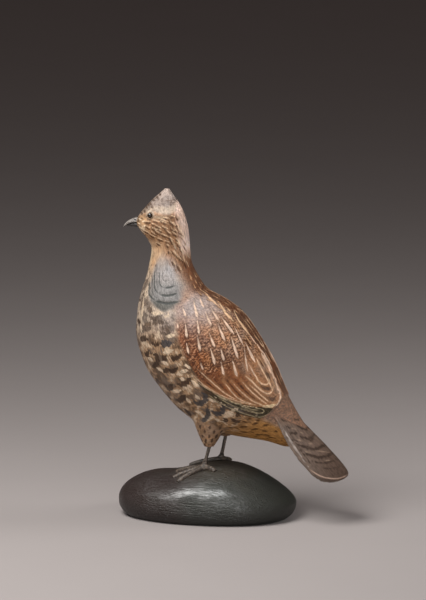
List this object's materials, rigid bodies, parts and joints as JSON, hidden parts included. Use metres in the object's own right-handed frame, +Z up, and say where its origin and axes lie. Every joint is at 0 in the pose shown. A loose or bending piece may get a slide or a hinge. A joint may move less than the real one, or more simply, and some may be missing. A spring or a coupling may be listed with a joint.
{
  "type": "miniature grouse carving on a rock base",
  "caption": "Small carved and painted grouse with a peaked crest, standing on wire legs on a dark carved rock.",
  "frame": {"origin": "middle of the rock's flat underside, where the carving stands", "axes": "+Z up, the bird faces -X, its left side is -Y"},
  "size_m": [0.0877, 0.047, 0.1226],
  "materials": {
    "feather_paint": "carved wood, painted in fine brown, buff and grey strokes, satin",
    "eye_bead": "very dark brown bead, polished",
    "leg_paint": "wire with matt grey-tan paint",
    "foot_paint": "moulded foot with matt grey-tan paint",
    "rock_paint": "carved wood, painted dark green-brown, satin"
  },
  "bodies": {
    "root": {"carved_bird": "feather_paint", "left_eye": "eye_bead", "right_eye": "eye_bead", "left_leg": "leg_paint", "right_leg": "leg_paint", "left_foot": "foot_paint", "right_foot": "foot_paint", "rock_base": "rock_paint"}
  },
  "joints": []
}
